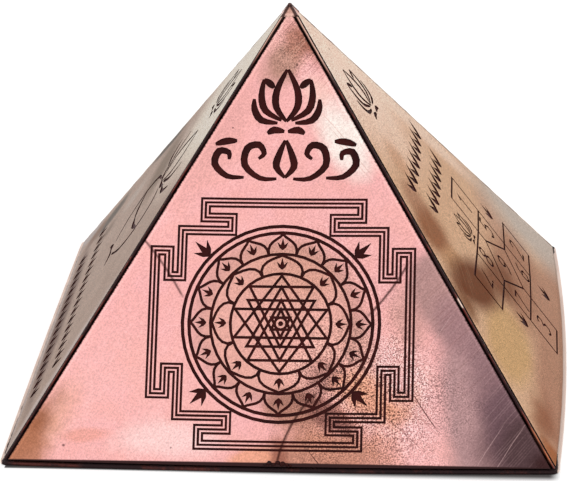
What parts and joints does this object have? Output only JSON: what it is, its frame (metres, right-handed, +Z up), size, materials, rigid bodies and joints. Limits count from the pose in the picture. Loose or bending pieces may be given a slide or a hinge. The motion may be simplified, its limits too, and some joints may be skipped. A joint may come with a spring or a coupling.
{
  "type": "vastu pyramid",
  "caption": "Square pyramid of etched copper sheet panels with soldered hips, a solder tip and a flat base plate, set down as a ritual object.",
  "frame": {"origin": "centre of the bounding box on the flat underside that the pyramid stands on", "axes": "+Z up through the apex, -Y out through the front face with the circle of petals, +X out through the right face with the number grid"},
  "size_m": [0.102, 0.102, 0.0707],
  "materials": {
    "etched_copper": "brushed, tarnished",
    "seam_solder": "worn",
    "dark_solder": "oxidised",
    "plate_copper": "oxidised"
  },
  "bodies": {
    "root": {"front_panel": "etched_copper", "right_panel": "etched_copper", "back_panel": "etched_copper", "left_panel": "etched_copper", "base_seam_front": "dark_solder", "base_seam_right": "dark_solder", "base_seam_back": "dark_solder", "base_seam_left": "dark_solder", "hip_seam_front_right": "seam_solder", "hip_seam_back_right": "seam_solder", "hip_seam_back_left": "seam_solder", "hip_seam_front_left": "seam_solder", "apex_cap": "seam_solder", "base_plate": "plate_copper"}
  },
  "joints": []
}
